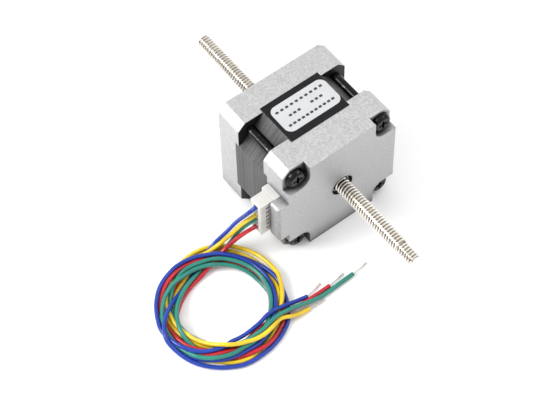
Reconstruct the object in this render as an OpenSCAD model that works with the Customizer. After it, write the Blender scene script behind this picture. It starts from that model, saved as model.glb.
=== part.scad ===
// Hybrid stepper motor with a rotating nut and a sliding lead screw.
// Frame: the origin is the centre of the mounting face, on the screw's axis.
// The screw runs along Y, the motor body lies on the -Y side, and +Z is up (label side).

/* [Motor body] */
// Width and height of the square body
body_w = 39; // [38.6:0.1:39.4]
// Leg of the 45 degree chamfer along the body's long edges
body_chamfer = 2.55; // [2.3:0.05:2.8]
// Thickness of the front cover at its corners
front_cover_h = 9.5; // [9.3:0.1:9.7]
// Thickness of the rear cover at its corners
rear_cover_h = 11.8; // [11.8:0.1:12.2]
// Gap between the two covers where the laminations show
stack_gap = 11.7; // [11.5:0.1:11.9]
// How far the laminated stack reaches into each cover
stack_seat = 1.6; // [1.4:0.1:1.7]

/* [Mounting] */
// Spacing of the four mounting screws, both ways
bolt_pitch = 31; // [30.8:0.1:31.2]
// Diameter of the round pilot on the mounting face
pilot_d = 22; // [20:0.5:22]
// Height of the pilot above the mounting face
pilot_h = 2; // [1.5:0.1:2.5]

/* [Lead screw] */
// Outside diameter of the screw's thread
screw_d = 4.76; // [4.7:0.01:4.8]
// Travel of the screw for one turn of the rotor
screw_pitch = 1.02; // [1:0.01:1.04]
// Reach of the screw in front of the mounting face
screw_front = 35; // [30:1:40]
// Reach of the full thread behind the mounting face
screw_rear = 59.6; // [56:0.2:62]
// Diameter of the turned-down tip
tip_d = 4; // [3.5:0.1:4.2]
// Length of the turned-down tip
tip_len = 6.4; // [5:0.2:8]

/* [Wires] */
// Diameter of each insulated wire
wire_d = 1.3; // [1.2:0.05:1.3]
// Height of the loose coil that the wires make
coil_h = 4.2; // [3.6:0.1:4.4]

/* [Hidden] */
$fn = 96;
eps = 0.1;
fit = 0.02;
half_w = body_w / 2;
bolt_xy = bolt_pitch / 2;

// Places along the axis, counted from the mounting face towards the rear
front_split = -front_cover_h;
rear_split = front_split - stack_gap;
rear_face = rear_split - rear_cover_h;
stack_front = front_split + stack_seat;
stack_rear = rear_split - stack_seat;
stack_h = stack_front - stack_rear;
stack_mid = (stack_front + stack_rear) / 2;
front_bearing_y = 0;
rear_bearing_y = rear_face + 6.6;

// Covers
cavity_r = 16.2;
board_ledge_r = 15.3;
hub_r = 9.5;
front_web = 4.2;
hub_lip = 1;
rear_web = 4;
rear_hub_y = rear_face + 6.8;
pocket_h = 3;
pocket_r = 3.6;
rear_hole_r = 3.7;
front_hole_r = 5;
washer_gap = 0.6;
washer_r = [6.3, 7.8];
washer_half = 0.12;
washer_wave = 0.14;
bolt_r = 1.5;
bolt_clear_r = 1.7;
tap_free_h = 6;
tap_r = 1.35;
seat_gap = 0.05;

// Laminations and windings
stack_flat = 10.5;
yoke_r = 15.6;
pole_w = 3.4;
shoe_r = 11.4;
bore_r = 10.15;
shoe_half_deg = 19.8;
poles = 8;
pole_teeth = 6;
rotor_teeth = 50;
tooth_deg = 360 / rotor_teeth;
tooth_h = 0.5;
insulator_h = 0.6;
slot_liner = 0.25;
liner_r = [15, 15.5];
tooth_slot = 0.63;
coil_x = [11.6, 14.4];
coil_wall = 1.6;
label_half = 10.4;
label_h = 0.1;
coil_in = 2;
coil_out = 3.55;

// Rotor
rotor_r = 9.98;
core_r = 4.98;
journal_r = 3.98;
nose_r = 3.1;
nose_y = rear_face + 1;
sleeve_bore_r = 2.75;
nut_r = 3.28;
nut_h = 18;
nut_clear = 0.05;
nut_rear = rear_face + 9.6;
magnet_h = 2.1;
magnet_r = 8.6;
cup_h = (stack_h - magnet_h) / 2;

// Bearings 8 x 16 x 5
bearing_bore_r = 4;
bearing_out_r = 8;
bearing_w = 5;
ball_n = 9;
ball_r = 1.1;
ball_pitch_r = 6;
race_r = 1.15;
inner_land_r = 5.1;
outer_land_r = 6.9;
cage_half = 1.55;
cage_wall = 0.8;
cage_clear = 0.06;
shield_h = 0.25;
shield_in = 0.15;

// Connector on the left side: six ways, 2 mm apart, up the body's side
ways = [-5, -3, -1, 1, 3, 5];
wired_ways = [5, 1, -1, -5];
header_y = [rear_split - 7.8, rear_split - 2];
header_x = [-21.8, -15.6];
header_half = 7.5;
plug_y = [rear_split - 7.3, rear_split - 2.7];
plug_x = [-26.3, -17];
plug_half = 6.95;
plug_mid = (plug_y[0] + plug_y[1]) / 2;
ledge_x = -23.4;
ledge_y = [rear_face, rear_split - 7.9];
ledge_half = 7.9;
ledge_cut = 0.8;
ledge_end_cut = 0.6;
opening_x = -15.4;
board_edge = 15.3;
board_y = rear_face + 4.4;
board_h = 1;
board_r = [9.9, 15.8];
leg_hole_r = 0.45;
pin_w = 0.5;
leg_x = -14.4;

// Screws
head_r = 3.05;
head_h = 2;
cross_half = 1.6;
cross_w = 0.8;
cross_h = 1;
shank_r = 1.45;
shank_len = front_split - rear_face - pocket_h;
screw_len = -tap_free_h - rear_face - pocket_h;

// Wires: each lead runs from the plug down to the coil, each tail from the coil to its bare end
floor_z = -half_w;
coil_c = [-46.5, -35];
coil_r = [13.2, 20.2];
wire_r = wire_d / 2;
bare_r = 0.35;
lead_ref = [1, 0.35, 0.2];
tail_ref = [0, 0, 1];
blue_lead = [[-22.9, plug_mid, 5], [-26.5, plug_mid, 5], [-28.5, -25.6, 3.2], [-29.4, -23.8, -0.2],
    [-30.5, -22, -4], [-31.7, -20.5, -8], [-33, -18.9, -12.2], [-34.6, -17.6, -15.6], [-37, -17.2, -17.4]];
yellow_lead = [[-22.9, plug_mid, 1], [-26.5, plug_mid, 1], [-28.4, -25.2, -0.8], [-29.6, -23.5, -4.2],
    [-30.9, -22, -8], [-32.2, -20.5, -11.8], [-33.9, -19.2, -15.2], [-36.4, -18.8, -17]];
green_lead = [[-22.9, plug_mid, -1], [-26.5, plug_mid, -1], [-28.2, -24.9, -3.2], [-29.3, -23.4, -6.6],
    [-30.2, -21.75, -10.2], [-31.3, -20.9, -13.8], [-33.2, -20.2, -16.6], [-35, -20.2, -18.2]];
red_lead = [[-22.9, plug_mid, -5], [-26.5, plug_mid, -5], [-28.4, -25, -6.8], [-30, -23.6, -9.4],
    [-31.8, -22.3, -12.2], [-33.6, -21.2, -14.8], [-35.8, -20.6, -16.8]];
blue_tail = [[-34.2, -47.4, -16], [-31, -47.4, -16.9], [-27.6, -47.4, -18.3], [-24.4, -47.4, -18.8]];
yellow_tail = [[-34.6, -50.2, -16.4], [-31.8, -50.6, -17.6], [-29.2, -50.9, -18.6], [-26.4, -51.1, -18.8]];
red_tail = [[-34, -48.4, -17.4], [-30.6, -48.6, -18.2], [-27, -48.75, -18.8], [-23.6, -48.75, -18.8],
    [-20.2, -48.7, -18.8], [-17, -48.6, -18.8]];
green_tail = [[-34.2, -48.9, -16], [-30.8, -49, -16.6], [-27.4, -49.3, -17.5], [-24, -50, -18.2],
    [-20.4, -50.1, -18.8], [-16.6, -50, -18.8], [-12.8, -49.8, -18.8], [-9, -49.7, -18.8]];
bare_tips = [[[-24.4, -47.4, -18.8], [-21.4, -46.9, -19], [-18.5, -46.2, -19.1]],
    [[-26.4, -51.1, -18.8], [-23.8, -51.3, -19], [-21, -51.3, -19.1]],
    [[-17, -48.6, -18.8], [-14, -48.2, -19], [-11.1, -47.7, -19.1]],
    [[-9, -49.7, -18.8], [-6.2, -49.5, -19], [-3.4, -49, -19.1]]];

// ---------- helpers ----------

// An outline in X and Z, extruded from y towards the rear by h
module slab(y, h) {
    translate([0, y, 0]) rotate([90, 0, 0]) linear_extrude(height = h) children();
}

// An outline in X and Z, extruded between two places along the axis
module between(y_front, y_rear) {
    slab(y_front, y_front - y_rear) children();
}

// A solid turned about the Y axis; the outline's own y runs towards the rear, from y
module turned(y) {
    translate([0, y, 0]) rotate([90, 0, 0]) rotate_extrude() children();
}

// A box given by its lowest and highest corners
module box(low, high) {
    translate(low) cube(high - low);
}

// A square with its corners cut off, leaving flats of half-length flat
module cut_square(half, flat) {
    polygon([[-half, -flat], [-flat, -half], [flat, -half], [half, -flat],
        [half, flat], [flat, half], [-flat, half], [-half, flat]]);
}

module rounded_rect(w, h, r) {
    square([w - 2 * r, h], center = true);
    square([w, h - 2 * r], center = true);
    for (x = [-1, 1], y = [-1, 1]) translate([x * (w / 2 - r), y * (h / 2 - r)]) circle(r);
}

module annulus(r_out, r_in) {
    difference() {
        circle(r_out);
        circle(r_in);
    }
}

// A part of an annulus, centred on the outline's x axis
module sector(r_out, r_in, half_deg) {
    reach = r_out * 1.3;
    intersection() {
        annulus(r_out, r_in);
        polygon([[0, 0], reach * [cos(half_deg), -sin(half_deg)], [reach, 0],
            reach * [cos(half_deg), sin(half_deg)]]);
    }
}

// The four mounting screws' places; children are turned to face their own corner
module at_bolts() {
    for (k = [0:3]) rotate(90 * k) translate([bolt_xy, bolt_xy]) children();
}

function unit(v) = v / norm(v);
function tangent(p, i) = unit(p[min(i + 1, len(p) - 1)] - p[max(i - 1, 0)]);
function ring(c, t, ref, r, n) =
    let (u = unit(cross(ref, t)), v = cross(t, u))
    [for (k = [0:n - 1]) c + r * (cos(360 * k / n) * u + sin(360 * k / n) * v)];

// A round wire swept along the route p; the route is never parallel to ref
module wire(p, r, ref) {
    n = 8;
    m = len(p);
    points = [for (i = [0:m - 1]) each ring(p[i], tangent(p, i), ref, r, n)];
    sides = [for (i = [0:m - 2], k = [0:n - 1])
        [i * n + k, (i + 1) * n + k, (i + 1) * n + (k + 1) % n, i * n + (k + 1) % n]];
    first = [for (k = [0:n - 1]) k];
    last = [for (k = [0:n - 1]) m * n - 1 - k];
    polyhedron(points, concat(sides, [first], [last]));
}

// ---------- covers ----------

module cover_outline() {
    cut_square(half_w, half_w - body_chamfer);
}

// What the stack's seat takes out of a cover; it runs out through the four sides
module seat_outline() {
    intersection() {
        square(2 * half_w + 2, center = true);
        rotate(45) square(sqrt(2) * (half_w + stack_flat + seat_gap), center = true);
    }
}

// A corner pocket that is open to both outer sides of its corner
module pocket_outline() {
    circle(pocket_r);
    translate([-pocket_r, 0]) square([2 * pocket_r + 2, pocket_r + 2]);
    translate([0, -pocket_r]) square([pocket_r + 2, pocket_r + 2]);
}

module front_cover() {
    color("silver") difference() {
        union() {
            between(0, front_split) cover_outline();
            between(pilot_h, -1) circle(d = pilot_d);
        }
        between(stack_front, front_split - eps) seat_outline();
        between(-front_web - hub_lip, front_split) circle(cavity_r);
        between(-front_web, -front_web - hub_lip - eps) annulus(cavity_r, hub_r);
        between(washer_gap, -front_web - hub_lip - eps) circle(bearing_out_r);
        between(pilot_h + eps, 0) circle(front_hole_r);
        between(eps, -tap_free_h) at_bolts() circle(bolt_r);
        between(eps - tap_free_h, front_split - eps) at_bolts() circle(tap_r);
    }
}

// The lip on the rear cover's left side that the plug lies on
module connector_ledge() {
    root_x = -half_w + 0.5;
    end = ledge_half - ledge_end_cut;
    intersection() {
        translate([0, 0, -ledge_half]) linear_extrude(height = 2 * ledge_half)
            polygon([[root_x, ledge_y[1]], [ledge_x, ledge_y[1]], [ledge_x, ledge_y[0] + ledge_cut],
                [ledge_x + ledge_cut, ledge_y[0]], [root_x, ledge_y[0]]]);
        between(ledge_y[1], ledge_y[0])
            polygon([[ledge_x, -end], [ledge_x + ledge_end_cut, -ledge_half], [root_x, -ledge_half],
                [root_x, ledge_half], [ledge_x + ledge_end_cut, ledge_half], [ledge_x, end]]);
    }
}

module rear_cover() {
    color("silver") difference() {
        union() {
            between(rear_split, rear_face) cover_outline();
            connector_ledge();
        }
        between(rear_split + eps, stack_rear) seat_outline();
        between(rear_split, rear_hub_y) circle(cavity_r);
        between(rear_hub_y + eps, board_y) annulus(cavity_r, hub_r);
        between(board_y + eps, rear_face + rear_web) annulus(board_ledge_r, hub_r);
        between(rear_hub_y + eps, rear_bearing_y - bearing_w) circle(bearing_out_r);
        between(rear_bearing_y, rear_face - eps) circle(rear_hole_r);
        between(rear_split, rear_face) at_bolts() circle(bolt_clear_r);
        between(rear_face + pocket_h, rear_face - eps) at_bolts() pocket_outline();
        box([-half_w - 1, ledge_y[1], -header_half - 0.05],
            [opening_x, rear_split + eps, header_half + 0.05]);
    }
}

// ---------- stator ----------

module pole_outline() {
    translate([shoe_r - 0.4, -pole_w / 2]) square([yoke_r - shoe_r + 1, pole_w]);
    difference() {
        sector(shoe_r, bore_r, shoe_half_deg);
        for (k = [1:pole_teeth - 1])
            rotate((k - pole_teeth / 2) * tooth_deg)
                translate([bore_r - 0.5, -tooth_slot / 2]) square([0.5 + tooth_h, tooth_slot]);
    }
}

module stator_core() {
    color("dimgray") between(stack_front, stack_rear) {
        difference() {
            cut_square(half_w, stack_flat);
            circle(yoke_r);
            at_bolts() circle(bolt_clear_r + 0.1);
        }
        for (k = [0:poles - 1]) rotate(k * 360 / poles) pole_outline();
    }
}

// The plastic end piece that lies on the rear end of the stack
module insulator() {
    wall_y = stack_rear - insulator_h;
    between(stack_rear, wall_y) {
        annulus(liner_r[1], liner_r[0]);
        for (k = [0:poles - 1]) rotate(k * 360 / poles) {
            translate([shoe_r - 0.4, -pole_w / 2 - slot_liner])
                square([yoke_r - shoe_r, pole_w + 2 * slot_liner]);
            sector(shoe_r, bore_r + 0.25, shoe_half_deg - 1);
        }
    }
    between(wall_y + eps, wall_y - 2.4) {
        annulus(liner_r[1], liner_r[0]);
        for (k = [0:poles - 1]) rotate(k * 360 / poles)
            sector(shoe_r, bore_r + 0.45, shoe_half_deg - 2);
    }
    between(stack_mid - 0.5, stack_rear - eps)
        for (k = [0:poles - 1], s = [-1, 1]) rotate(k * 360 / poles)
            translate([shoe_r + 0.1, s * (pole_w + slot_liner) / 2 - slot_liner / 2])
                square([yoke_r - shoe_r - 0.7, slot_liner]);
}

module insulator_rear() {
    color("ivory") insulator();
}

module insulator_front() {
    color("ivory") translate([0, 2 * stack_mid, 0]) mirror([0, 1, 0]) insulator();
}

// One wound coil on the pole at angle a: a rounded frame around the pole and its liners
module winding(a) {
    wound_len = stack_h + 2 * insulator_h + 0.1;
    rotate([0, a, 0]) translate([coil_x[0], stack_mid, 0]) rotate([90, 0, 90])
        linear_extrude(height = coil_x[1] - coil_x[0]) difference() {
            rotate(90) rounded_rect(2 * coil_out, wound_len + 2 * coil_wall, 1.2);
            rotate(90) rounded_rect(2 * coil_in, wound_len, 0.1);
        }
}

module coils_phase_a() {
    color("sandybrown") for (k = [0:2:poles - 1]) winding(k * 360 / poles);
}

module coils_phase_b() {
    color("peru") for (k = [1:2:poles - 1]) winding(k * 360 / poles);
}

module rating_label() {
    color("black") box([-label_half, stack_rear + 0.1, half_w],
        [label_half, stack_front - 0.1, half_w + label_h]);
}

// ---------- fasteners ----------

module through_screw() {
    crown = head_h * 0.45;
    difference() {
        rotate_extrude() polygon([[0, 0], [head_r, 0], [head_r, head_h - crown],
            [head_r * 0.93, head_h - crown * 0.4], [head_r * 0.75, head_h], [0, head_h]]);
        for (a = [0, 90]) rotate(a)
            translate([-cross_half, -cross_w / 2, head_h - cross_h])
                cube([2 * cross_half, cross_w, cross_h + eps]);
    }
    translate([0, 0, -shank_len]) cylinder(h = shank_len + eps, r = shank_r);
    translate([0, 0, -screw_len]) cylinder(h = screw_len, r = tap_r - fit);
}

module through_screws() {
    color("#202224") translate([0, rear_face + pocket_h, 0]) rotate([90, 0, 0])
        at_bolts() through_screw();
}

module wave_washer() {
    n = 48;
    t = washer_half;
    function level(k) = washer_gap / 2 + washer_wave * sin(3 * 360 * k / n);
    points = [for (k = [0:n - 1]) let (a = 360 * k / n) each
        [for (c = [[washer_r[0], t], [washer_r[1], t], [washer_r[1], -t], [washer_r[0], -t]])
            [c.x * cos(a), level(k) + c.y, -c.x * sin(a)]]];
    faces = [for (k = [0:n - 1], j = [0:3]) let (k2 = (k + 1) % n, j2 = (j + 1) % 4)
        [4 * k + j, 4 * k + j2, 4 * k2 + j2, 4 * k2 + j]];
    color("lightsteelblue") polyhedron(points, faces);
}

// ---------- bearings ----------

module race_groove() {
    translate([ball_pitch_r, bearing_w / 2]) circle(race_r);
}

module bearing_outer_ring(y) {
    turned(y) difference() {
        translate([outer_land_r, 0]) square([bearing_out_r - fit - outer_land_r, bearing_w]);
        race_groove();
    }
}

module bearing_inner_ring(y) {
    turned(y) difference() {
        translate([bearing_bore_r, 0]) square([inner_land_r - bearing_bore_r, bearing_w]);
        race_groove();
    }
}

module at_balls() {
    for (k = [0:ball_n - 1]) rotate([0, k * 360 / ball_n, 0]) translate([ball_pitch_r, 0, 0]) children();
}

module bearing_balls(y) {
    translate([0, y - bearing_w / 2, 0]) at_balls() sphere(ball_r);
}

module bearing_cage(y) {
    difference() {
        turned(y) translate([ball_pitch_r - cage_wall / 2, bearing_w / 2 - cage_half])
            square([cage_wall, 2 * cage_half]);
        translate([0, y - bearing_w / 2, 0]) at_balls() rotate([0, 90, 0])
            cylinder(h = 2, r = ball_r + cage_clear, center = true);
    }
}

module bearing_shields(y) {
    for (d = [shield_in, bearing_w - shield_in - shield_h])
        turned(y - d) translate([inner_land_r + shield_in, 0])
            square([outer_land_r - fit - inner_land_r - shield_in, shield_h]);
}

module front_bearing_outer_ring() color("lightgray") bearing_outer_ring(front_bearing_y);
module front_bearing_inner_ring() color("lightgray") bearing_inner_ring(front_bearing_y);
module front_bearing_balls() color("white") bearing_balls(front_bearing_y);
module front_bearing_cage() color("goldenrod") bearing_cage(front_bearing_y);
module front_bearing_shields() color("gray") bearing_shields(front_bearing_y);
module rear_bearing_outer_ring() color("lightgray") bearing_outer_ring(rear_bearing_y);
module rear_bearing_inner_ring() color("lightgray") bearing_inner_ring(rear_bearing_y);
module rear_bearing_balls() color("white") bearing_balls(rear_bearing_y);
module rear_bearing_cage() color("goldenrod") bearing_cage(rear_bearing_y);
module rear_bearing_shields() color("gray") bearing_shields(rear_bearing_y);

// ---------- rotor ----------

module rotor_sleeve() {
    front_y = front_bearing_y + 0.3;
    core_front = front_bearing_y - bearing_w - fit;
    core_rear = rear_bearing_y + fit;
    nose_top = rear_bearing_y - bearing_w;
    color("lightgray") difference() {
        union() {
            between(front_y, nose_top) circle(journal_r);
            between(core_front, core_rear) circle(core_r);
            between(nose_top + eps, nose_y) circle(nose_r);
        }
        between(front_y + eps, nut_rear - fit) circle(nut_r + fit);
        between(nut_rear, nose_y - eps) circle(sleeve_bore_r);
    }
}

module lead_nut() {
    color("darkgoldenrod") between(nut_rear + nut_h, nut_rear)
        annulus(nut_r, screw_d / 2 + nut_clear);
}

// A toothed laminated half of the rotor; turn shifts its teeth
module rotor_cup(y_front, turn) {
    step = 360 / rotor_teeth;
    outline = [for (k = [0:rotor_teeth - 1], e = [[-0.27, 0], [-0.2, 1], [0.2, 1], [0.27, 0]])
        let (a = turn + (k + e.x) * step, r = rotor_r - tooth_h * (1 - e.y)) [r * cos(a), r * sin(a)]];
    between(y_front, y_front - cup_h) difference() {
        polygon(outline);
        circle(core_r + fit);
    }
}

module rotor_cup_front() {
    color("slategray") rotor_cup(stack_front, 0);
}

module rotor_cup_rear() {
    color("slategray") rotor_cup(stack_rear + cup_h, tooth_deg / 2);
}

module rotor_magnet() {
    color("darkslategray") between(stack_mid + magnet_h / 2, stack_mid - magnet_h / 2)
        annulus(magnet_r, core_r + fit);
}

// ---------- lead screw ----------

// Half outline of the screw: the thread is drawn as ring grooves, one per pitch
module lead_screw() {
    r = screw_d / 2;
    len = screw_front + screw_rear;
    root = 0.45 * screw_pitch;
    turns = floor((len - 2) / screw_pitch);
    grooves = [for (k = [0:turns - 1], e = [[0.2, 0], [0.35, 1], [0.65, 1], [0.8, 0]])
        [r - e.y * root, 1 + (k + e.x) * screw_pitch]];
    color("tan") turned(screw_front) polygon(concat(
        [[0, 0], [r - root, 0], [r, root]],
        grooves,
        [[r, len - 0.4], [r - 0.4, len], [tip_d / 2, len], [tip_d / 2, len + tip_len - 0.5],
            [tip_d / 2 - 0.5, len + tip_len], [0, len + tip_len]]));
}

// ---------- connector ----------

module terminal_board() {
    color("darkgreen") between(board_y + board_h, board_y) difference() {
        annulus(board_r[1], board_r[0]);
        translate([-20, -20]) square([20 - board_edge, 40]);
        for (z = ways) translate([leg_x, z]) circle(leg_hole_r);
    }
}

module connector_header() {
    cavity_x = header_x[1] - 1.2;
    color("whitesmoke") difference() {
        box([header_x[0], header_y[0], -header_half], [header_x[1], header_y[1], header_half]);
        box([header_x[0] - 1, plug_y[0] - 0.05, -plug_half - 0.1],
            [cavity_x, plug_y[1] + 0.05, plug_half + 0.1]);
        for (z = ways) box([cavity_x - 1, plug_mid - 0.27, z - 0.27],
            [header_x[1] + 1, plug_mid + 0.27, z + 0.27]);
        for (z = [-4.2, 4.2]) box([header_x[0] - 1, header_y[1] - 1, z - 0.6],
            [header_x[0] + 1.6, header_y[1] + 1, z + 0.6]);
    }
}

module header_pins() {
    h = pin_w / 2;
    color("gold") for (z = ways) {
        box([-20.9, plug_mid - h, z - h], [leg_x + h, plug_mid + h, z + h]);
        box([leg_x - h, board_y, z - h], [leg_x + h, plug_mid + h, z + h]);
    }
}

module plug_housing() {
    color("white") difference() {
        box([plug_x[0], plug_y[0], -plug_half], [plug_x[1], plug_y[1], plug_half]);
        for (z = ways) {
            box([plug_x[0] - 1, plug_mid - 0.85, z - 0.75], [plug_x[1] - 1, plug_mid + 0.85, z + 0.75]);
            box([plug_x[1] - 2, plug_mid - 0.4, z - 0.4], [plug_x[1] + 1, plug_mid + 0.4, z + 0.4]);
            box([-24.4, plug_y[0] - 1, z - 0.5], [-22.6, plug_mid, z + 0.5]);
        }
    }
}

module crimp_contacts() {
    color("gold") for (z = wired_ways) difference() {
        union() {
            box([-21.6, plug_mid - 0.7, z - 0.6], [plug_x[1] - 1.2, plug_mid + 0.7, z + 0.6]);
            translate([-24.4, plug_mid, z]) rotate([0, 90, 0]) cylinder(h = 3, r = wire_r + 0.08);
        }
        box([-21, plug_mid - 0.27, z - 0.27], [plug_x[1], plug_mid + 0.27, z + 0.27]);
        translate([-25, plug_mid, z]) rotate([0, 90, 0]) cylinder(h = 2.3, r = wire_r + 0.01);
    }
}

// ---------- wires ----------

module wire_blue_lead() color("royalblue") wire(blue_lead, wire_r, lead_ref);
module wire_yellow_lead() color("gold") wire(yellow_lead, wire_r, lead_ref);
module wire_green_lead() color("seagreen") wire(green_lead, wire_r, lead_ref);
module wire_red_lead() color("firebrick") wire(red_lead, wire_r, lead_ref);
module wire_blue_tail() color("royalblue") wire(blue_tail, wire_r, tail_ref);
module wire_yellow_tail() color("gold") wire(yellow_tail, wire_r, tail_ref);
module wire_green_tail() color("seagreen") wire(green_tail, wire_r, tail_ref);
module wire_red_tail() color("firebrick") wire(red_tail, wire_r, tail_ref);

// The outer shape of the loose coil that the four wires make together
module wire_coil() {
    cut = 0.8;
    color("royalblue") translate([coil_c.x, coil_c.y, floor_z]) rotate_extrude()
        polygon([[coil_r[0] + cut, 0], [coil_r[1] - cut, 0], [coil_r[1], cut],
            [coil_r[1], coil_h - cut], [coil_r[1] - cut, coil_h], [coil_r[0] + cut, coil_h],
            [coil_r[0], coil_h - cut], [coil_r[0], cut]]);
}

module bare_wire_ends() {
    color("silver") for (p = bare_tips) wire(p, bare_r, tail_ref);
}

front_cover();
rear_cover();
stator_core();
insulator_front();
insulator_rear();
coils_phase_a();
coils_phase_b();
rating_label();
through_screws();
front_bearing_outer_ring();
front_bearing_inner_ring();
front_bearing_balls();
front_bearing_cage();
front_bearing_shields();
rear_bearing_outer_ring();
rear_bearing_inner_ring();
rear_bearing_balls();
rear_bearing_cage();
rear_bearing_shields();
wave_washer();
rotor_sleeve();
lead_nut();
rotor_cup_front();
rotor_cup_rear();
rotor_magnet();
lead_screw();
terminal_board();
connector_header();
header_pins();
plug_housing();
crimp_contacts();
wire_blue_lead();
wire_yellow_lead();
wire_green_lead();
wire_red_lead();
wire_coil();
wire_blue_tail();
wire_yellow_tail();
wire_green_tail();
wire_red_tail();
bare_wire_ends();
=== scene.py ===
"""The looks of a stepper motor with a lead screw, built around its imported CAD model.

Blender works in metres. Sizes and places here are in millimetres, and mm() turns them into metres.
The screw runs along Y, the body is on its -Y side, and +Z is up.
"""

import math

import bmesh
import bpy
import numpy as np
from mathutils import Matrix, Vector


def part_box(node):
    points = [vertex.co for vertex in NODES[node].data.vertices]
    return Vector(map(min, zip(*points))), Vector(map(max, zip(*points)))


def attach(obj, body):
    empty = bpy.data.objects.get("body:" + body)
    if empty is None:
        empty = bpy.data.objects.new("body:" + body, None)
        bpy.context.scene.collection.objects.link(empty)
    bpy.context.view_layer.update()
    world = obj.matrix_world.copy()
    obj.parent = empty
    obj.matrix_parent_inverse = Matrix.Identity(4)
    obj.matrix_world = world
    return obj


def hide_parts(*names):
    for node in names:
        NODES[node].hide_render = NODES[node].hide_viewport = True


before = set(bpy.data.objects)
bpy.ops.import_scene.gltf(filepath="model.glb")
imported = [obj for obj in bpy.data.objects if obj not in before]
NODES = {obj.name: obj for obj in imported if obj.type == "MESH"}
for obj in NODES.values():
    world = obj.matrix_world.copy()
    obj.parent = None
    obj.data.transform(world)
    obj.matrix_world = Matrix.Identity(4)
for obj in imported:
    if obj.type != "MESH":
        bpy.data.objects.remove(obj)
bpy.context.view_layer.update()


def mm(*values):
    """Millimetres to metres: one number for one value, a Vector for three."""
    return values[0] * 0.001 if len(values) == 1 else Vector(values) * 0.001


def box_mm(node):
    """A CAD node's lowest and highest corners, in millimetres."""
    low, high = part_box(node)
    return low * 1000, high * 1000


# ---------- camera ----------

CAMERA_AT = (-188.9, -256.1, 439.2)
CAMERA_TO = (-12.21, -18.94, -13.28)
CAMERA_ROLL_DEG = -1.28
CAMERA_LENS, CAMERA_SENSOR = 116.8, 36


def make_camera():
    data = bpy.data.cameras.new("camera")
    data.sensor_width = CAMERA_SENSOR
    data.lens = CAMERA_LENS
    data.clip_start, data.clip_end = 0.01, 20
    camera = bpy.data.objects.new("camera", data)
    place = mm(*CAMERA_AT)
    aim = (mm(*CAMERA_TO) - place).to_track_quat("-Z", "Y").to_matrix().to_4x4()
    roll = Matrix.Rotation(math.radians(CAMERA_ROLL_DEG), 4, "Z")
    camera.matrix_world = Matrix.Translation(place) @ aim @ roll
    bpy.context.scene.collection.objects.link(camera)
    bpy.context.scene.camera = camera


# ---------- materials ----------


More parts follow.
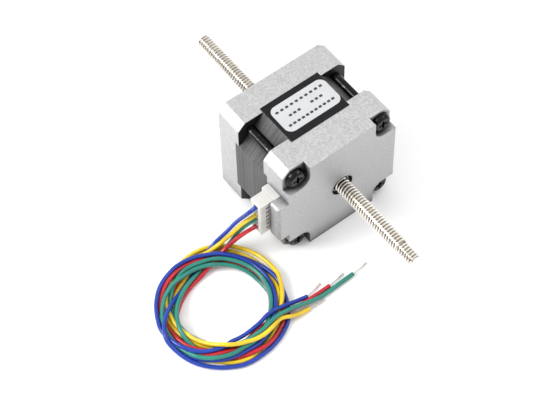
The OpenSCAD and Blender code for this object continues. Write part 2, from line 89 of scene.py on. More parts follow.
class Surface:
    """A Principled material whose colour, roughness and bump come from procedural detail."""

    def __init__(self, name, rough, metallic=0.0, edge=0.0, **sockets):
        self.material = bpy.data.materials.new(name)
        self.material.use_nodes = True
        self.tree = self.material.node_tree
        self.shader = self.tree.nodes["Principled BSDF"]
        self.rough = rough
        self.shader.inputs["Metallic"].default_value = metallic
        for socket, value in sockets.items():
            self.shader.inputs[socket.replace("_", " ")].default_value = value
        self.place = self.node("ShaderNodeTexCoord").outputs["Object"]
        self.normal = None
        if edge:
            bevel = self.node("ShaderNodeBevel", samples=6)
            bevel.inputs["Radius"].default_value = mm(edge)
            self.normal = bevel.outputs["Normal"]

    def node(self, kind, **settings):
        made = self.tree.nodes.new(kind)
        for name, value in settings.items():
            setattr(made, name, value)
        return made

    def feed(self, socket, value):
        """Links value to the socket if it is an output, and otherwise sets the socket to it."""
        if isinstance(value, bpy.types.NodeSocket):
            self.tree.links.new(value, socket)
        else:
            socket.default_value = value

    def math(self, operation, a, b=0.0):
        made = self.node("ShaderNodeMath", operation=operation)
        for socket, value in zip(made.inputs, (a, b)):
            self.feed(socket, value)
        return made.outputs[0]

    def noise(self, size, detail=2.0, roughness=0.5, stretch=None):
        """Noise with blotches about size mm across; stretch makes them longer along an axis."""
        made = self.node("ShaderNodeTexNoise")
        made.inputs["Scale"].default_value = 1000 / size
        made.inputs["Detail"].default_value = detail
        made.inputs["Roughness"].default_value = roughness
        place = self.place
        if stretch:
            mapping = self.node("ShaderNodeMapping")
            mapping.inputs["Scale"].default_value = [1 / s for s in stretch]
            self.feed(mapping.inputs["Vector"], place)
            place = mapping.outputs[0]
        self.feed(made.inputs["Vector"], place)
        return made.outputs["Fac"]

    def openness(self, reach):
        """1 on an open face, falling towards 0 deep in a recess; reach is in mm."""
        made = self.node("ShaderNodeAmbientOcclusion", samples=8)
        made.inputs["Distance"].default_value = mm(reach)
        return made.outputs["AO"]

    def axis(self, name):
        split = self.node("ShaderNodeSeparateXYZ")
        self.feed(split.inputs[0], self.place)
        return split.outputs[name]

    def radius(self):
        """Distance from the axis that the screw and the rotor share, in metres."""
        x, z = self.axis("X"), self.axis("Z")
        squares = self.math("ADD", self.math("MULTIPLY", x, x), self.math("MULTIPLY", z, z))
        return self.math("SQRT", squares)

    def span(self, value, low, high, to_low, to_high):
        """to_low where value is low, to_high where it is high, and in between in proportion."""
        made = self.node("ShaderNodeMapRange")
        for socket, v in zip(made.inputs, (value, low, high, to_low, to_high)):
            self.feed(socket, v)
        return made.outputs[0]

    def mix(self, factor, a, b):
        made = self.node("ShaderNodeMix", data_type="RGBA")
        self.feed(made.inputs["Factor"], factor)
        for socket, value in ((made.inputs[6], a), (made.inputs[7], b)):
            colour = isinstance(value, (tuple, list))
            self.feed(socket, (*value, 1) if colour and len(value) == 3 else value)
        return made.outputs[2]

    def bump(self, height, depth):
        """Adds relief; depth is in mm from the lowest to the highest height."""
        made = self.node("ShaderNodeBump")
        made.inputs["Strength"].default_value = 1.0
        made.inputs["Distance"].default_value = mm(depth)
        self.feed(made.inputs["Height"], height)
        if self.normal:
            self.feed(made.inputs["Normal"], self.normal)
        self.normal = made.outputs[0]

    def done(self, colour, rough_by=None, rough_span=0.1):
        """Links everything up; where rough_by is given, roughness varies with it by rough_span."""
        self.feed(self.shader.inputs["Base Color"], colour)
        if rough_by is None:
            self.shader.inputs["Roughness"].default_value = self.rough
        else:
            low, high = self.rough - rough_span / 2, self.rough + rough_span / 2
            self.feed(self.shader.inputs["Roughness"], self.span(rough_by, 0.3, 0.7, low, high))
        if self.normal:
            self.feed(self.shader.inputs["Normal"], self.normal)
        return self.material


def shade(colour, k):
    """The colour, k times as bright."""
    return tuple(min(1.0, c * k) for c in colour)


def plain_surface(name, colour, rough, grain, vary=0.08, relief=0.01, **rest):
    """A material with soft colour variation and a fine grain; grain and relief are in mm."""
    s = Surface(name, rough, **rest)
    fine = s.noise(grain, 3, 0.6)
    broad = s.noise(grain * 9, 2)
    s.bump(fine, relief)
    tint = s.math("ADD", s.math("MULTIPLY", fine, 0.5), s.math("MULTIPLY", broad, 0.5))
    tint = s.span(tint, 0.35, 0.65, 0.0, 1.0)
    return s.done(s.mix(tint, shade(colour, 1 - vary), shade(colour, 1 + vary)), fine)


def cast_aluminium():
    """Blasted casting: light grey with a coarse sparkle and dark specks, with painted shade in
    recesses and on the faces across the stack.
    """
    s = Surface("cast_aluminium", 0.46, metallic=0.5, edge=0.4)
    grit = s.noise(0.55, 4, 0.7)
    fine = s.noise(0.16, 2, 0.6)
    broad = s.noise(9, 3, 0.5)
    s.bump(grit, 0.1)
    s.bump(fine, 0.016)
    tone = s.span(grit, 0.34, 0.66, 0.0, 1.0)
    colour = s.mix(tone, (0.33, 0.33, 0.335), (0.54, 0.54, 0.545))
    colour = s.mix(s.span(broad, 0.35, 0.7, 0.0, 0.25), colour, (0.40, 0.40, 0.405))
    speck = s.span(fine, 0.27, 0.34, 0.55, 0.0)
    colour = s.mix(speck, colour, (0.22, 0.22, 0.225))
    # Painted shade in recesses: darker where little around is open, over a short and a long reach
    for reach, dark in ((2.6, 0.85), (13, 0.9)):
        painted_recess_shade = s.span(s.openness(reach), 0.35, 0.8, dark, 0.0)
        colour = s.mix(painted_recess_shade, colour, (0.035, 0.034, 0.033))
    # The two faces that look at each other across the stack are painted black as shade
    skin = 0.06
    gap_front = mm(box_mm("front_cover")[0].y + skin)
    gap_rear = mm(box_mm("rear_cover")[1].y - skin)
    in_front = s.math("LESS_THAN", s.axis("Y"), gap_front)
    in_rear = s.math("GREATER_THAN", s.axis("Y"), gap_rear)
    painted_gap_shade = s.math("MULTIPLY", in_front, in_rear)
    return s.done(s.mix(painted_gap_shade, colour, (0.018, 0.018, 0.018)), grit, 0.2)


def laminations():
    """Punched sheets of 0.5 mm, seen on edge: dark joints, and each sheet a little different."""
    sheet = 0.5
    s = Surface("laminations", 0.5, metallic=0.4)
    along = s.math("DIVIDE", s.axis("Y"), mm(sheet))
    in_sheet = s.math("FRACT", along)
    number = s.math("FLOOR", along)
    joint = s.math("ABSOLUTE", s.math("SUBTRACT", in_sheet, 0.5))
    white = s.node("ShaderNodeTexWhiteNoise", noise_dimensions="1D")
    s.feed(white.inputs["W"], number)
    scuff = s.noise(1.2, 3, 0.6, stretch=(1, 3, 1))
    s.bump(s.span(joint, 0.30, 0.46, 1.0, 0.0), 0.07)
    s.bump(scuff, 0.01)
    light = s.mix(white.outputs["Value"], (0.055, 0.055, 0.057), (0.115, 0.115, 0.118))
    light = s.mix(s.span(scuff, 0.45, 0.75, 0.0, 0.35), light, (0.18, 0.178, 0.175))
    sheets = s.mix(s.span(joint, 0.32, 0.47, 0.0, 0.85), light, (0.012, 0.012, 0.013))
    # Painted shade: darker in recesses, within a reach of 7 mm
    painted_recess_shade = s.span(s.openness(7), 0.5, 0.92, 0.9, 0.0)
    return s.done(s.mix(painted_recess_shade, sheets, (0.010, 0.010, 0.010)), scuff)


# Length of the screw's turned-down tip, and the y where the tip meets the thread (mm)
TIP_LEN = 6.4
TIP_SHOULDER_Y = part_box("lead_screw")[0].y * 1000 + TIP_LEN


def rolled_thread():
    """Stainless steel with fine marks around the screw, painted shade in the thread's roots, and
    painted shade and dark reflection near the motor.
    """
    s = Surface("rolled_thread", 0.2, metallic=1.0)
    marks = s.noise(0.25, 3, 0.6, stretch=(4, 0.5, 4))
    stain = s.noise(2.5, 2)
    s.bump(marks, 0.012)
    radius = s.radius()
    # Bright from the second radius outwards, with painted shade in the roots up to the first (mm)
    main = s.span(radius, mm(1.93), mm(2.2), 0.0, 1.0)
    tip = s.span(radius, mm(1.72), mm(1.9), 0.0, 1.0)
    blend = 0.2
    on_tip = s.span(s.axis("Y"), mm(TIP_SHOULDER_Y - blend), mm(TIP_SHOULDER_Y + blend), 1.0, 0.0)
    crest = s.math("MAXIMUM", main, s.math("MULTIPLY", on_tip, tip))
    low, high = box_mm("lead_screw")
    end_band = 0.3
    for end, inside in ((low.y, end_band), (high.y, -end_band)):
        face = s.span(s.axis("Y"), mm(end + inside), mm(end + 0.5 * inside), 0.0, 1.0)
        crest = s.math("MAXIMUM", crest, face)
    steel = s.mix(s.span(stain, 0.35, 0.65, 0.0, 1.0), (0.72, 0.68, 0.62), (0.84, 0.815, 0.775))
    threaded = s.mix(crest, (0.31, 0.265, 0.21), steel)
    # Painted shade and dark reflection near the motor, where little around is open
    painted_shade_near_motor = s.span(s.openness(9), 0.25, 0.62, 0.95, 0.0)
    return s.done(s.mix(painted_shade_near_motor, threaded, (0.05, 0.035, 0.025)), marks, 0.12)


def turned_metal(name, colour, rough, lines=0.12):
    """Bright metal with fine rings left by turning or grinding."""
    s = Surface(name, rough, metallic=1.0, edge=0.08)
    rings = s.noise(lines, 2, 0.6, stretch=(6, 1, 6))
    s.bump(rings, 0.006)
    return s.done(s.mix(rings, shade(colour, 0.85), shade(colour, 1.1)), rings, 0.14)


def black_steel():
    """Black oxide with the shine of a pressed head and paler metal where a driver has rubbed."""
    s = Surface("black_steel", 0.24, metallic=0.8, edge=0.14)
    grain = s.noise(0.5, 3, 0.6)
    worn = s.noise(1.4, 4, 0.7)
    s.bump(grain, 0.02)
    rubbed = s.span(worn, 0.58, 0.74, 0.0, 0.6)
    return s.done(s.mix(rubbed, (0.010, 0.010, 0.011), (0.16, 0.157, 0.155)), grain, 0.2)


def wound_copper(name, colour, wire=0.3):
    """Turns of enamelled wire lying side by side round each pole."""
    s = Surface(name, 0.28, metallic=0.85, Coat_Weight=0.5, Coat_Roughness=0.15)
    turn = s.math("FRACT", s.math("DIVIDE", s.radius(), mm(wire)))
    rise = s.math("SINE", s.math("MULTIPLY", turn, math.pi))
    blotch = s.noise(1.5, 3)
    s.bump(rise, 0.12)
    top = s.mix(blotch, colour, shade(colour, 1.25))
    # Darker towards the edges of each turn: painted shade between the turns
    return s.done(s.mix(rise, shade(colour, 0.35), top), blotch)


def insulation(name, colour):
    """Glossy PVC: almost even in colour, with faint extrusion lines and a soft sheen."""
    s = Surface(name, 0.3, Coat_Weight=0.3, Coat_Roughness=0.1, Specular_IOR_Level=0.3)
    skin = s.noise(0.6, 3, 0.55)
    patch = s.noise(7, 2)
    s.bump(skin, 0.012)
    tint = s.span(patch, 0.35, 0.65, 0.0, 1.0)
    return s.done(s.mix(tint, shade(colour, 0.86), shade(colour, 1.12)), skin, 0.12)


def moulded_nylon(name, colour):
    """Slightly translucent moulded nylon with soft edges and a fine spark-eroded texture."""
    s = Surface(name, 0.42, edge=0.22, Subsurface_Weight=0.15, Subsurface_Scale=mm(0.6))
    skin = s.noise(0.18, 2, 0.6)
    flow = s.noise(3.5, 2)
    s.bump(skin, 0.008)
    tint = s.span(flow, 0.35, 0.65, 0.0, 1.0)
    return s.done(s.mix(tint, shade(colour, 0.93), shade(colour, 1.04)), skin)


def make_materials():
    return {
        "cast": cast_aluminium(),
        "laminations": laminations(),
        "thread": rolled_thread(),
        "black_steel": black_steel(),
        "bearing_steel": turned_metal("bearing_steel", (0.72, 0.72, 0.73), rough=0.18),
        "sleeve_steel": turned_metal("sleeve_steel", (0.70, 0.69, 0.67), rough=0.28),
        "sheet_steel": turned_metal("sheet_steel", (0.62, 0.62, 0.63), rough=0.34, lines=0.2),
        "bronze": turned_metal("bronze", (0.60, 0.42, 0.20), rough=0.3),
        "nickel": plain_surface(
            "nickel", (0.66, 0.65, 0.62), rough=0.25, grain=0.6, metallic=1.0, edge=0.1
        ),
        "copper_a": wound_copper("copper_a", (0.72, 0.33, 0.14)),
        "copper_b": wound_copper("copper_b", (0.62, 0.25, 0.10)),
        "insulator": moulded_nylon("insulator", (0.66, 0.63, 0.53)),
        "header": moulded_nylon("header", (0.62, 0.62, 0.61)),
        "plug": moulded_nylon("plug", (0.60, 0.585, 0.555)),
        "board": plain_surface("board", (0.02, 0.20, 0.09), rough=0.3, grain=0.5, Coat_Weight=0.6),
        "tinned": plain_surface(
            "tinned", (0.74, 0.73, 0.70), rough=0.3, grain=0.25, metallic=1.0, edge=0.05
        ),
        "strands": plain_surface(
            "strands", (0.70, 0.66, 0.60), rough=0.28, grain=0.2, metallic=1.0
        ),
        "film": plain_surface(
            "film", (0.010, 0.010, 0.011), rough=0.4, grain=0.5, vary=0.2, relief=0.006,
            Specular_IOR_Level=0.12
        ),
        "paper": plain_surface(
            "paper", (0.455, 0.458, 0.465), rough=0.42, grain=0.4, vary=0.05, relief=0.006
        ),
        "ink": plain_surface(
            "ink", (0.03, 0.03, 0.035), rough=0.5, grain=0.2, vary=0.3, relief=0.004
        ),
        "blue": insulation("blue_pvc", (0.008, 0.038, 0.30)),
        "yellow": insulation("yellow_pvc", (0.72, 0.50, 0.02)),
        "green": insulation("green_pvc", (0.018, 0.20, 0.155)),
        "red": insulation("red_pvc", (0.42, 0.010, 0.020)),
    }


NODE_MATERIALS = {
    "cast": ("front_cover", "rear_cover"),
    "laminations": ("stator_core", "rotor_cup_front", "rotor_cup_rear"),
    "insulator": ("insulator_front", "insulator_rear"),
    "copper_a": ("coils_phase_a",),
    "copper_b": ("coils_phase_b",),
    "film": ("rating_label",),
    "black_steel": ("through_screws",),
    "bearing_steel": tuple(
        f"{end}_bearing_{part}"
        for end in ("front", "rear")
        for part in ("outer_ring", "inner_ring", "balls")
    ),
    "sheet_steel": (
        "front_bearing_cage",
        "rear_bearing_cage",
        "front_bearing_shields",
        "rear_bearing_shields",
        "wave_washer",
    ),
    "sleeve_steel": ("rotor_sleeve",),
    "bronze": ("lead_nut",),
    "nickel": ("rotor_magnet",),
    "thread": ("lead_screw",),
    "board": ("terminal_board",),
    "header": ("connector_header",),
    "plug": ("plug_housing",),
    "tinned": ("header_pins", "crimp_contacts", "bare_wire_ends"),
    "blue": ("wire_blue_lead", "wire_blue_tail", "wire_coil"),
    "yellow": ("wire_yellow_lead", "wire_yellow_tail"),
    "green": ("wire_green_lead", "wire_green_tail"),
    "red": ("wire_red_lead", "wire_red_tail"),
}


def dress_nodes(materials):
    for key, names in NODE_MATERIALS.items():
        for name in names:
            node = NODES[name]
            node.data.materials.clear()
            node.data.materials.append(materials[key])


# ---------- meshes ----------


def link_mesh(name, mesh, material, body, sharp_deg):
    """A smooth-shaded piece on the body, with edges sharper than sharp_deg left sharp."""
    mesh.materials.append(material)
    mesh.polygons.foreach_set("use_smooth", [True] * len(mesh.polygons))
    mesh.set_sharp_from_angle(angle=math.radians(sharp_deg))
    piece = bpy.data.objects.new(name, mesh)
    bpy.context.scene.collection.objects.link(piece)
    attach(piece, body)
    return piece


def from_bmesh(name, bm):
    """A mesh from the bmesh, with its faces turned outwards; the bmesh is freed."""
    bmesh.ops.recalc_face_normals(bm, faces=bm.faces)
    mesh = bpy.data.meshes.new(name)
    bm.to_mesh(mesh)
    bm.free()
    return mesh


# ---------- lead screw ----------

# One pitch of the thread's outline: share of the pitch, and share of the thread's depth
THREAD_OUTLINE = (
    (0.00, 0.10),
    (0.05, 0.00),
    (0.24, 0.00),
    (0.29, 0.10),
    (0.45, 0.88),
    (0.52, 1.00),
    (0.77, 1.00),
    (0.84, 0.88),
)


def add_thread(bm, y_from, y_to, radius, pitch, depth, chamfer_from, chamfer_to, around=44):
    """A right-hand thread from y_from to y_to (mm) with chamfered, closed ends."""
    steps = len(THREAD_OUTLINE)
    rows = math.ceil((y_to - y_from) / pitch + 3) * steps
    first = y_from - 1.5 * pitch
    grid = []
    for row in range(rows):
        share, sunk = THREAD_OUTLINE[row % steps]
        line = []
        for k in range(around + 1):
            y = first + pitch * (row // steps + share + k / around)
            r = radius - depth * sunk
            r = min(r, radius - chamfer_from + max(0.0, y - y_from))
            r = min(r, radius - chamfer_to + max(0.0, y_to - y))
            a = 2 * math.pi * k / around
            line.append(bm.verts.new(mm(r * math.sin(a), y, r * math.cos(a))))
        grid.append(line)
    for row in range(rows - 1):
        for k in range(around):
            bm.faces.new((grid[row][k], grid[row][k + 1], grid[row + 1][k + 1], grid[row + 1][k]))
    bmesh.ops.remove_doubles(bm, verts=bm.verts, dist=mm(0.002))
    for y, side in ((y_from, -1), (y_to, 1)):
        cut = bmesh.ops.bisect_plane(
            bm,
            geom=bm.verts[:] + bm.edges[:] + bm.faces[:],
            dist=1e-7,
            plane_co=mm(0, y, 0),
            plane_no=(0, side, 0),
            clear_outer=True,
        )
        edges = [e for e in cut["geom_cut"] if isinstance(e, bmesh.types.BMEdge)]
        bmesh.ops.contextual_create(bm, geom=edges)


def make_lead_screw(materials):
    """The helical thread and the threaded tip, in place of the plain CAD screw."""
    low, high = box_mm("lead_screw")
    main = {
        "y_from": TIP_SHOULDER_Y,
        "y_to": high.y,
        "radius": high.x,
        "pitch": 1.02,
        "depth": 0.46,
        "chamfer_from": 0.4,
        "chamfer_to": 0.5,
    }
    tip = {
        "y_from": low.y,
        "y_to": TIP_SHOULDER_Y + 0.5,
        "radius": 2.0,
        "pitch": 1.0,
        "depth": 0.3,
        "chamfer_from": 0.5,
        "chamfer_to": 0.0,
    }
    mesh = bpy.data.meshes.new("lead_screw_thread")
    joined = bmesh.new()
    for sizes in (main, tip):
        bm = bmesh.new()
        add_thread(bm, **sizes)
        part = from_bmesh("thread_part", bm)
        joined.from_mesh(part)
        bpy.data.meshes.remove(part)
    joined.to_mesh(mesh)
    joined.free()
    screw = link_mesh("lead_screw_thread", mesh, materials["thread"], "screw", sharp_deg=34)
    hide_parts("lead_screw")


# ---------- rating label ----------


def rounded_outline(x0, x1, y0, y1, r, steps):
    """Points round a rectangle with corners of radius r, each corner drawn in the given steps."""
    corners = (
        (x1 - r, y1 - r, 0),
        (x0 + r, y1 - r, 90),
        (x0 + r, y0 + r, 180),
        (x1 - r, y0 + r, 270),
    )
    points = []
    for cx, cy, first_deg in corners:
        for k in range(steps + 1):
            a = math.radians(first_deg + 90 * k / steps)
            points.append((cx + r * math.cos(a), cy + r * math.sin(a)))
    return points


def add_plate(bm, outline, z_low, z_high):
    """A thin plate with the outline's shape, closed on all sides."""
    low = [bm.verts.new(mm(x, y, z_low)) for x, y in outline]
    high = [bm.verts.new(mm(x, y, z_high)) for x, y in outline]
    bm.faces.new(high)
    bm.faces.new(low[::-1])
    for k in range(len(outline)):
        n = (k + 1) % len(outline)
        bm.faces.new((low[k], low[n], high[n], high[k]))


def label_piece(name, plates, material):
    """A piece of the label made of plates, each an outline with its lower and upper z."""
    bm = bmesh.new()
    for plate in plates:
        add_plate(bm, *plate)
    return link_mesh(name, from_bmesh(name, bm), material, "housing", sharp_deg=30)


# Half a dash's length and width on the label, and the distance between rows (mm)
DASH_HALF = (0.52, 0.4)
ROW_PITCH = 2.9
# For each row, the x of each group's first and last dash and the number of dashes between them
ROWS = (
    ((-7.6, 8.1, 10),),
    ((-5.0, -1.9, 3), (2.8, 6.0, 3)),
    ((-7.2, 8.1, 11),),
)


def make_label(materials):
    """Black film, a white field and three rows of dashes, within the CAD label's thickness."""
    low, high = box_mm("rating_label")
    film_top = low.z + 0.05
    field_top = low.z + 0.07
    x0, x1, y0, y1 = low.x + 1.1, high.x - 0.1, low.y + 2.4, high.y - 2.0
    dashes = []
    for number, groups in enumerate(ROWS):
        y = (y0 + y1) / 2 + (1 - number) * ROW_PITCH
        for x_first, x_last, count in groups:
            for k in range(count):
                x = x_first + (x_last - x_first) * k / (count - 1)
                outline = rounded_outline(
                    x - DASH_HALF[0], x + DASH_HALF[0], y - DASH_HALF[1], y + DASH_HALF[1], 0.25, 3
                )
                dashes.append((outline, field_top - 0.01, high.z - 0.005))
    film_outline = rounded_outline(low.x, high.x, low.y, high.y, 0.3, 4)
    field_outline = rounded_outline(x0, x1, y0, y1, 2.3, 10)
    film = label_piece("label_film", [(film_outline, low.z, film_top)], materials["film"])
    field = label_piece(
        "label_field", [(field_outline, film_top - 0.02, field_top)], materials["paper"]
    )
    marks = label_piece("label_marks", dashes, materials["ink"])
    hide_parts("rating_label")


# ---------- wires ----------

FLOOR_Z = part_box("wire_coil")[0].z * 1000
WIRE_R = 0.65
PLUG_MID = -26.2
COIL_CENTRE = (-46.5, -35.0)
# About as long as the leads are, from their contacts to the coil
LEAD_LEN = 20

# Route points (mm) from the contact in the plug down to the coil
LEADS = {
    "blue": (
        (-22.9, PLUG_MID, 5), (-26.5, PLUG_MID, 5), (-28.5, -25.6, 3.2), (-29.4, -23.8, -0.2),
        (-30.5, -22, -4), (-31.7, -20.5, -8), (-33, -18.9, -12.2), (-34.6, -17.6, -15.6),
        (-37, -17.2, -17.4),
    ),
    "yellow": (
        (-22.9, PLUG_MID, 1), (-26.5, PLUG_MID, 1), (-28.4, -25.2, -0.8), (-29.6, -23.5, -4.2),
        (-30.9, -22, -8), (-32.2, -20.5, -11.8), (-33.9, -19.2, -15.2), (-36.4, -18.8, -17),
    ),
    "green": (
        (-22.9, PLUG_MID, -1), (-26.5, PLUG_MID, -1), (-28.2, -24.9, -3.2), (-29.3, -23.4, -6.6),
        (-30.2, -21.75, -10.2), (-31.3, -20.9, -13.8), (-33.2, -20.2, -16.6), (-35, -20.2, -18.2),
    ),
    "red": (
        (-22.9, PLUG_MID, -5), (-26.5, PLUG_MID, -5), (-28.4, -25, -6.8), (-30, -23.6, -9.4),
        (-31.8, -22.3, -12.2), (-33.6, -21.2, -14.8), (-35.8, -20.6, -16.8),
    ),
}

# How each wire's three turns lie: mean radius, how far the turn leans off centre, towards which angle
# (degrees), and its height above the floor. Lengths are in mm
COIL = {
    "blue": ((18.9, 0.5, 250, 0.8), (17.0, 1.0, 180, 1.8), (17.6, 0.6, 180, 2.9)),
    "yellow": ((17.2, 0.6, 0, 0.8), (17.0, 3.2, 45, 1.5), (17.0, 3.4, 35, 2.2)),
    "green": ((15.4, 1.4, 260, 1.0), (16.2, 1.5, 180, 2.4), (15.4, 1.8, 30, 1.6)),
    "red": ((16.8, 2.0, 330, 0.8), (15.8, 1.2, 200, 1.4), (17.4, 1.0, 60, 2.3)),
}
COIL_FROM_DEG, COIL_TO_DEG, COIL_STEP_DEG = 90, 1020, 15
FIRST_TURN_MID_DEG = 240
# Where the wires leave their circles: they cut across the inside of the coil where they come in, lie
# on top of it just after, and cut across again where they go out. Each row has its middle angle, the
# angle over which it fades, and how far each wire moves inwards and upwards (mm)
SWERVES = (
    (115, 75, {"blue": (6.0, 0.0), "yellow": (3.2, 0.0), "green": (1.4, 0.0), "red": (3.2, 0.0)}),
    (165, 55, {"blue": (0.2, 2.4), "yellow": (0.0, 0.0), "green": (1.2, 2.2), "red": (0.0, 0.6)}),
    (
        990, 80,
        {"blue": (4.4, -0.3), "yellow": (-0.9, 1.4), "green": (-0.9, 1.7), "red": (2.2, -0.6)},
    ),
)

# From the coil to the end of the insulation
TAILS = {
    "blue": (
        (-34.2, -47.4, -16), (-31, -47.4, -16.9), (-27.6, -47.4, -18.3), (-24.4, -47.4, -18.8),
    ),
    "yellow": (
        (-34.6, -50.2, -16.4), (-31.8, -50.6, -17.6), (-29.2, -50.9, -18.6), (-26.4, -51.1, -18.8),
    ),
    "red": (
        (-34, -48.4, -17.4), (-30.6, -48.6, -18.2), (-27, -48.75, -18.8), (-23.6, -48.75, -18.8),
        (-20.2, -48.7, -18.8), (-17, -48.6, -18.8),
    ),
    "green": (
        (-34.2, -48.9, -16), (-30.8, -49, -16.6), (-27.4, -49.3, -17.5), (-24, -50, -18.2),
        (-20.4, -50.1, -18.8), (-16.6, -50, -18.8), (-12.8, -49.8, -18.8), (-9, -49.7, -18.8),
    ),
}

# From the end of the insulation to the end of the stripped copper
TIPS = {
    "blue": (
        (-24.4, -47.4, -18.8), (-21.4, -46.9, -19), (-18.5, -46.2, -19.1),
    ),
    "yellow": (
        (-26.4, -51.1, -18.8), (-23.8, -51.3, -19), (-21, -51.3, -19.1),
    ),
    "red": (
        (-17, -48.6, -18.8), (-14, -48.2, -19), (-11.1, -47.7, -19.1),
    ),
    "green": (
        (-9, -49.7, -18.8), (-6.2, -49.5, -19), (-3.4, -49, -19.1),
    ),
}


def smooth_line(points, spacing, steps=24):
    """Points every spacing mm along a smooth curve (Catmull-Rom) through the given ones."""
    p = np.array(points, float)
    p = np.vstack([2 * p[0] - p[1], p, 2 * p[-1] - p[-2]])
    out = []
    for i in range(1, len(p) - 2):
        gaps = [max(1e-6, np.linalg.norm(p[j + 1] - p[j])) ** 0.5 for j in (i - 1, i, i + 1)]
        t0, t1 = 0.0, gaps[0]
        t2, t3 = t1 + gaps[1], t1 + gaps[1] + gaps[2]
        for t in np.linspace(t1, t2, steps, endpoint=False):
            a1 = (t1 - t) / (t1 - t0) * p[i - 1] + (t - t0) / (t1 - t0) * p[i]
            a2 = (t2 - t) / (t2 - t1) * p[i] + (t - t1) / (t2 - t1) * p[i + 1]
            a3 = (t3 - t) / (t3 - t2) * p[i + 1] + (t - t2) / (t3 - t2) * p[i + 2]
            b1 = (t2 - t) / (t2 - t0) * a1 + (t - t0) / (t2 - t0) * a2
            b2 = (t3 - t) / (t3 - t1) * a2 + (t - t1) / (t3 - t1) * a3
            out.append((t2 - t) / (t2 - t1) * b1 + (t - t1) / (t2 - t1) * b2)
    out.append(p[-2])
    line = np.array(out)
    along = np.concatenate([[0], np.cumsum(np.linalg.norm(np.diff(line, axis=0), axis=1))])
    count = max(2, round(along[-1] / spacing) + 1)
    wanted = np.linspace(0, along[-1], count)
    return np.stack([np.interp(wanted, along, line[:, k]) for k in range(3)], axis=1)


def between_rows(rows, place):
    """The rows' value at a place between two of them, on a smooth curve through all of them."""
    k = min(int(place), len(rows) - 2)
    t = place - k
    p0, p1, p2, p3 = (rows[min(max(i, 0), len(rows) - 1)] for i in (k - 1, k, k + 1, k + 2))
    flat, square, cube = p2 - p0, 2 * p0 - 5 * p1 + 4 * p2 - p3, 3 * p1 - p0 - 3 * p2 + p3
    return p1 + 0.5 * t * (flat + t * (square + t * cube))


def fade(angle, middle, reach):
    """1 at the middle angle, falling smoothly to 0 at reach degrees either side of it."""
    return 0.5 + 0.5 * math.cos(math.pi * min(1.0, abs(angle - middle) / reach))


def coil_turns(colour):
    """The points of a wire's turns: leaning circles, each passing gradually into the next."""
    rows = []
    for radius, lean, toward, height in COIL[colour]:
        a = math.radians(toward)
        rows.append(np.array((radius, lean * math.cos(a), lean * math.sin(a), height)))
    turns = []
    for angle in range(COIL_FROM_DEG, COIL_TO_DEG + 1, COIL_STEP_DEG):
        place = min(max((angle - FIRST_TURN_MID_DEG) / 360, 0), len(rows) - 1)
        radius, lean_x, lean_y, height = between_rows(rows, place)
        for middle, reach, moves in SWERVES:
            radius -= moves[colour][0] * fade(angle, middle, reach)
            height += moves[colour][1] * fade(angle, middle, reach)
        x = COIL_CENTRE[0] + lean_x + radius * math.cos(math.radians(angle))
        y = COIL_CENTRE[1] + lean_y + radius * math.sin(math.radians(angle))
        turns.append((x, y, FLOOR_Z + height))
    return turns


def spread_bends(values, amount):
    """Evens out a line of values in place, keeping both ends."""
    values[1:-1] += amount * (values[:-2] - 2 * values[1:-1] + values[2:])


def wire_route(colour, spacing, passes=10):
    """A wire's whole route, its bends evened out: once all along, and once more past the lead."""
    route = smooth_line([*LEADS[colour], *coil_turns(colour), *TAILS[colour]], spacing)
    past_lead = route[math.ceil(LEAD_LEN / spacing) :]
    for part in (route, past_lead):
        for _ in range(passes):
            spread_bends(part, 0.25)
    return route


# Settling: how far apart the wires' centres are kept (in diameters), and the lengths at the plug
# and at the tail over which a wire is held (mm)
WIRE_ROOM = 1.05
HELD_AT_PLUG, HELD_AT_TAIL = 13, 7
# The number of passes, how many of the last ones even the wires out less, and how often the pairs
# of points that lie near each other are looked up again, within a further distance (mm)
SETTLE_PASSES, LAST_PASSES = 500, 60
LOOKUP_EVERY, LOOKUP_REACH = 20, 1.2
# How much each pass pushes, evens out at first and at the end, and lets the wires spring back
PUSH, EVEN_FIRST, EVEN_LAST, SPRING = 1.3, 0.22, 0.05, 0.998


def settle(routes, spacing):
    """Pushes the wires apart where they would cut into each other, with long smooth humps."""
    width = 2 * WIRE_R * WIRE_ROOM
    held_lead = math.ceil(HELD_AT_PLUG / spacing)
    held_tail = math.ceil(HELD_AT_TAIL / spacing)
    lengths = [len(r) for r in routes]
    ends = np.cumsum(lengths)
    spans = [slice(end - length, end) for end, length in zip(ends, lengths)]
    home = np.concatenate(routes)
    points = home.copy()
    owner = np.repeat(np.arange(len(routes)), lengths)
    order = np.concatenate([np.arange(n) for n in lengths])
    free = np.ones((len(points), 1))
    for span in spans:
        free[span][:held_lead, 0] = np.linspace(0, 1, held_lead) ** 2
        free[span][-held_tail:, 0] = np.linspace(1, 0, held_tail) ** 2
    for step in range(SETTLE_PASSES):
        if step % LOOKUP_EVERY == 0:
            apart = np.linalg.norm(points[:, None] - points[None], axis=2)
            along = abs(order[:, None] - order[None]) * spacing
            neighbours = (owner[:, None] == owner[None]) & (along <= 3 * width)
            close = (apart < width + LOOKUP_REACH) & ~neighbours
            first, second = np.nonzero(np.triu(close, 1))
        gap = points[first] - points[second]
        apart = np.linalg.norm(gap, axis=1)
        hit = apart < width
        a, b = first[hit], second[hit]
        push = gap[hit] * (0.5 * (width - apart[hit]) / np.maximum(apart[hit], 1e-6))[:, None]
        move, crowd = np.zeros_like(points), np.zeros((len(points), 1))
        for at, sign in ((a, 1), (b, -1)):
            np.add.at(move, at, sign * push)
            np.add.at(crowd, at, 1)
        points += PUSH * free * move / np.maximum(1, crowd)
        shift = points - home
        evening = EVEN_FIRST if step < SETTLE_PASSES - LAST_PASSES else EVEN_LAST
        for span in spans:
            spread_bends(shift[span], evening)
        points = home + SPRING * shift
        points[:, 2] = np.maximum(points[:, 2], FLOOR_Z + WIRE_R + 0.03)
    return [points[span] for span in spans]


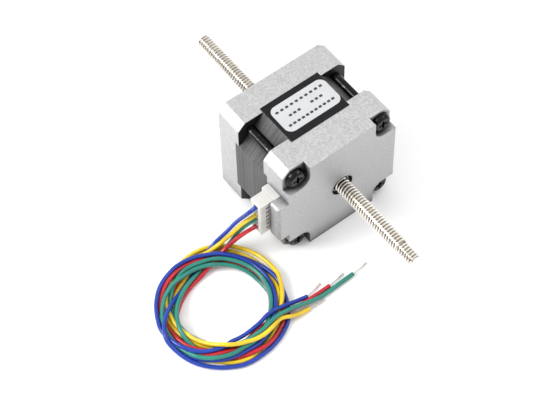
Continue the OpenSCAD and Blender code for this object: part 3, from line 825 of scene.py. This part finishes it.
def curve_piece(name, lines, radius, material, body, resolution=5):
    """A round wire along each line of points (mm)."""
    data = bpy.data.curves.new(name, "CURVE")
    data.dimensions = "3D"
    data.bevel_depth = mm(radius)
    data.bevel_resolution = resolution
    data.use_fill_caps = True
    for line in lines:
        spline = data.splines.new("POLY")
        spline.points.add(len(line) - 1)
        for point, place in zip(spline.points, line):
            point.co = (*mm(*place), 1)
        spline.use_smooth = True
    data.materials.append(material)
    piece = bpy.data.objects.new(name, data)
    bpy.context.scene.collection.objects.link(piece)
    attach(piece, body)
    return piece


def strand_lines(path, count=6, bundle_r=0.13, turns=0.8):
    """Thin copper strands twisted round the path, a little spread at the free end."""
    line = smooth_line(path, spacing=0.35)
    n = len(line)
    lines = [line]
    for k in range(count):
        strand = []
        for i, place in enumerate(line):
            t = i / (n - 1)
            ahead = line[min(i + 1, n - 1)] - line[max(i - 1, 0)]
            side = np.cross(ahead, (0, 0, 1.0))
            side /= np.linalg.norm(side)
            up = np.cross(side, ahead / np.linalg.norm(ahead))
            a = 2 * math.pi * (k / count + turns * t)
            reach = bundle_r * (1 + 0.9 * t * t)
            strand.append(place + reach * (math.cos(a) * side + math.sin(a) * up))
        lines.append(np.array(strand))
    return lines


def make_wires(materials):
    """Each wire in one piece from its contact to its end, with its stripped strands."""
    spacing = 0.8
    strand_r = 0.065
    settled = settle([wire_route(colour, spacing) for colour in COIL], spacing)
    for colour, line in zip(COIL, settled):
        line = smooth_line(line, spacing=0.55)
        wire = curve_piece(f"wire_{colour}", [line], WIRE_R, materials[colour], "housing")
        strands = curve_piece(
            f"strands_{colour}",
            strand_lines(TIPS[colour]),
            strand_r,
            materials["strands"],
            "housing",
            resolution=2,
        )
        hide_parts(f"wire_{colour}_lead", f"wire_{colour}_tail", "wire_coil")
        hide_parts("bare_wire_ends")


# ---------- floor and light ----------


def make_stage():
    """A plain white floor just under the lowest pieces."""
    floor_mesh = bpy.data.meshes.new("floor")
    half, z = mm(3000), mm(FLOOR_Z - 0.02)
    corners = [(-half, -half, z), (half, -half, z), (half, half, z), (-half, half, z)]
    floor_mesh.from_pydata(corners, [], [(0, 1, 2, 3)])
    floor_mesh.materials.append(
        plain_surface(
            "floor", (0.93, 0.93, 0.93), rough=0.6, grain=2.0, vary=0.01, relief=0.002,
            Specular_IOR_Level=0.2
        )
    )
    floor = bpy.data.objects.new("floor", floor_mesh)
    bpy.context.scene.collection.objects.link(floor)


# Where the lights point: the middle of the body
LIT_SPOT = (0, -20, 0)


def area_light(name, place, size, watts):
    data = bpy.data.lights.new(name, "AREA")
    data.shape = "DISK"
    data.size = mm(size)
    data.energy = watts
    light = bpy.data.objects.new(name, data)
    light.location = mm(*place)
    light.rotation_mode = "QUATERNION"
    light.rotation_quaternion = (mm(*LIT_SPOT) - mm(*place)).to_track_quat("-Z", "Y")
    bpy.context.scene.collection.objects.link(light)


# The studio is white all round but for one patch, dimmer low down on the left as beyond the edge of
# a light tent: its colour, and the two values of each direction between which it fades in
WORLD_STRENGTH = 1.07
DIM_COLOUR = (0.16, 0.16, 0.165)
DIM_BOUNDS = (("X", -0.35, -0.75), ("Z", 0.5, 0.3))


def make_world():
    world = bpy.data.worlds.new("studio")
    world.use_nodes = True
    nodes, links = world.node_tree.nodes, world.node_tree.links
    background = nodes["Background"]
    background.inputs["Strength"].default_value = WORLD_STRENGTH
    split = nodes.new("ShaderNodeSeparateXYZ")
    links.new(nodes.new("ShaderNodeTexCoord").outputs["Generated"], split.inputs[0])
    inside = nodes.new("ShaderNodeMath")
    inside.operation = "MULTIPLY"
    for socket, (axis, outer, inner) in zip(inside.inputs, DIM_BOUNDS):
        band = nodes.new("ShaderNodeMapRange")
        band.inputs["From Min"].default_value, band.inputs["From Max"].default_value = outer, inner
        links.new(split.outputs[axis], band.inputs["Value"])
        links.new(band.outputs[0], socket)
    tone = nodes.new("ShaderNodeMix")
    tone.data_type = "RGBA"
    tone.inputs[6].default_value = (1, 1, 1, 1)
    tone.inputs[7].default_value = (*DIM_COLOUR, 1)
    links.new(inside.outputs[0], tone.inputs["Factor"])
    links.new(tone.outputs[2], background.inputs["Color"])
    bpy.context.scene.world = world


def make_lights():
    make_world()
    bpy.context.scene.view_settings.view_transform = "Standard"
    area_light("key", (-620, 280, 550), size=450, watts=7.5)
    area_light("fill", (500, -200, 700), size=600, watts=1.5)


# ---------- the scene ----------

make_camera()
MATERIALS = make_materials()
make_wires(MATERIALS)
dress_nodes(MATERIALS)
make_lead_screw(MATERIALS)
make_label(MATERIALS)
make_stage()
make_lights()
